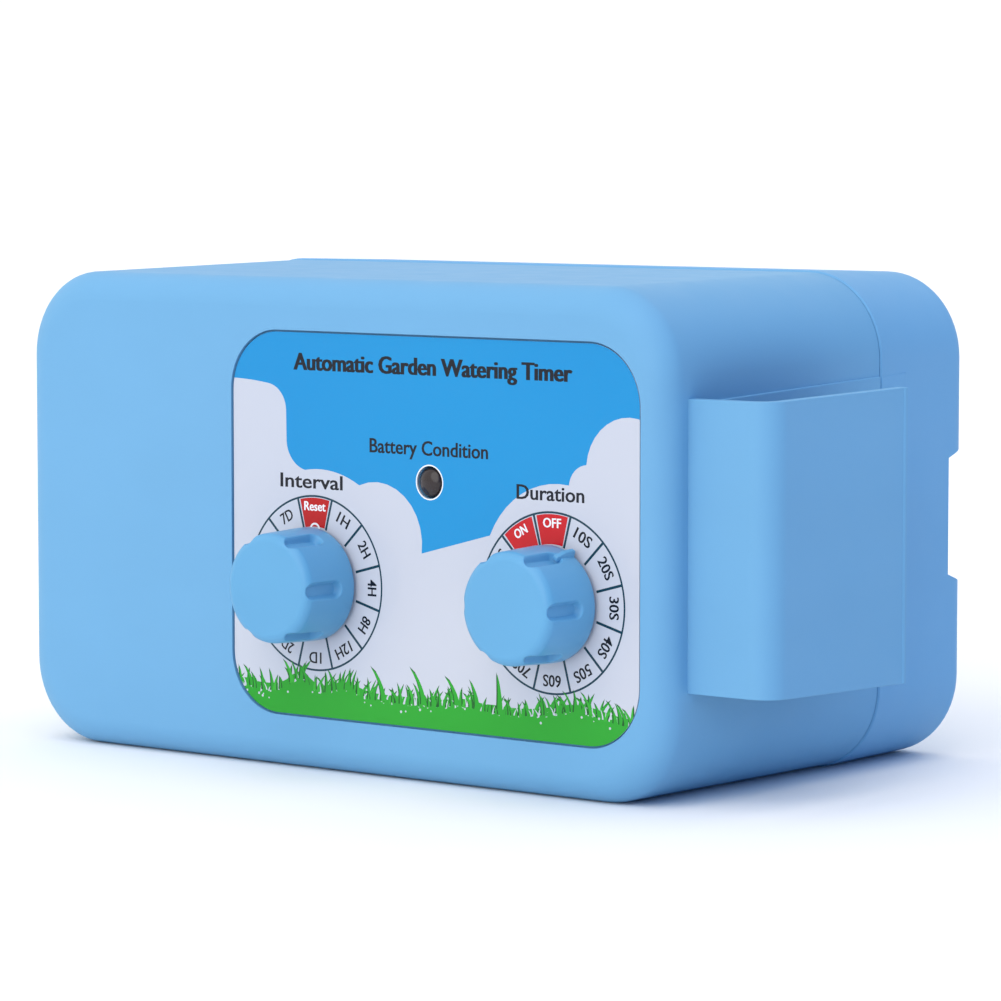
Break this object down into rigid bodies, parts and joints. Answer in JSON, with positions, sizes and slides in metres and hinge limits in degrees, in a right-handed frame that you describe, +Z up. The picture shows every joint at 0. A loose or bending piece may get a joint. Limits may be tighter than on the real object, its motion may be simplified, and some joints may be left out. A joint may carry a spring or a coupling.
{
  "type": "drip irrigation timer",
  "caption": "Battery powered watering timer and pump in a boxy plastic case with dials, hose barbs, a battery door and a hook for a tank rim.",
  "frame": {"origin": "middle of the case's flat base", "axes": "+X right along the case towards the hook, +Y back, away from the dial panel, +Z up"},
  "size_m": [0.1862, 0.1031, 0.088],
  "materials": {
    "case": "fine moulded texture, light blue",
    "knob": "satin moulded light blue",
    "label": "glossy printed panel",
    "lens": "smoked lens",
    "steel": "zinc plated",
    "nickel": "nickel plated",
    "switch": "black moulding",
    "board": "green solder mask",
    "black_plastic": "black moulding",
    "capacitor": "shrink sleeve",
    "white_plastic": "natural nylon",
    "rubber": "black rubber",
    "silicone": "translucent silicone",
    "cell": "plain sleeve",
    "red_wire": "insulation"
  },
  "bodies": {
    "case": {"front_shell": "case", "rear_cover": "case", "label_panel": "label", "interval_switch_body": "switch", "duration_switch_body": "switch", "interval_switch_washer": "nickel", "duration_switch_washer": "nickel", "interval_switch_nut": "nickel", "duration_switch_nut": "nickel", "status_led": "lens", "control_board": "board", "microcontroller": "black_plastic", "supply_capacitor": "capacitor", "wire_connector": "white_plastic", "board_screw_1": "steel", "board_screw_2": "steel", "motor_can": "steel", "motor_end_cap": "black_plastic", "pump_crankcase": "black_plastic", "pump_diaphragm": "rubber", "pump_valve_plate": "white_plastic", "pump_head": "black_plastic", "pump_cushion": "rubber", "pump_cradle": "white_plastic", "head_screw_1": "steel", "head_screw_2": "steel", "cradle_screw_1": "steel", "cradle_screw_2": "steel", "inlet_port": "knob", "outlet_port": "knob", "inlet_seal": "rubber", "outlet_seal": "rubber", "inlet_nut": "white_plastic", "outlet_nut": "white_plastic", "inlet_tube": "silicone", "outlet_tube": "silicone", "battery_cell_1": "cell", "battery_cell_2": "cell", "battery_cell_3": "cell", "battery_cell_4": "cell", "battery_terminal_1": "nickel", "battery_terminal_2": "nickel", "battery_terminal_3": "nickel", "battery_terminal_4": "nickel", "battery_terminal_5": "nickel", "case_screw_1": "steel", "case_screw_2": "steel", "case_screw_3": "steel", "case_screw_4": "steel", "battery_wire_plus": "red_wire", "battery_wire_minus": "black_plastic", "motor_wire_plus": "red_wire", "motor_wire_minus": "black_plastic"},
    "interval_dial": {"interval_knob": "knob", "interval_switch_shaft": "steel"},
    "duration_dial": {"duration_knob": "knob", "duration_switch_shaft": "steel"},
    "door": {"battery_door": "case"},
    "pump_rotor": {"motor_rotor": "steel", "pump_eccentric": "white_plastic"}
  },
  "joints": [
    {"name": "interval_knob_turn", "type": "hinge", "parent": "case", "child": "interval_dial", "pos_m": [-0.0029, -0.045, 0.0335], "axis": [0, 1, 0], "range_deg": [-270, 60]},
    {"name": "duration_knob_turn", "type": "hinge", "parent": "case", "child": "duration_dial", "pos_m": [0.0503, -0.045, 0.0335], "axis": [0, 1, 0], "range_deg": [-30, 300]},
    {"name": "battery_door_swing", "type": "hinge", "parent": "case", "child": "door", "pos_m": [-0.003, 0.0432, 0.044], "axis": [0, 0, 1], "range_deg": [0, 85]},
    {"name": "pump_spin", "type": "hinge", "parent": "case", "child": "pump_rotor", "pos_m": [-0.04, 0, 0.03], "axis": [0, 0, 1], "continuous": true}
  ]
}
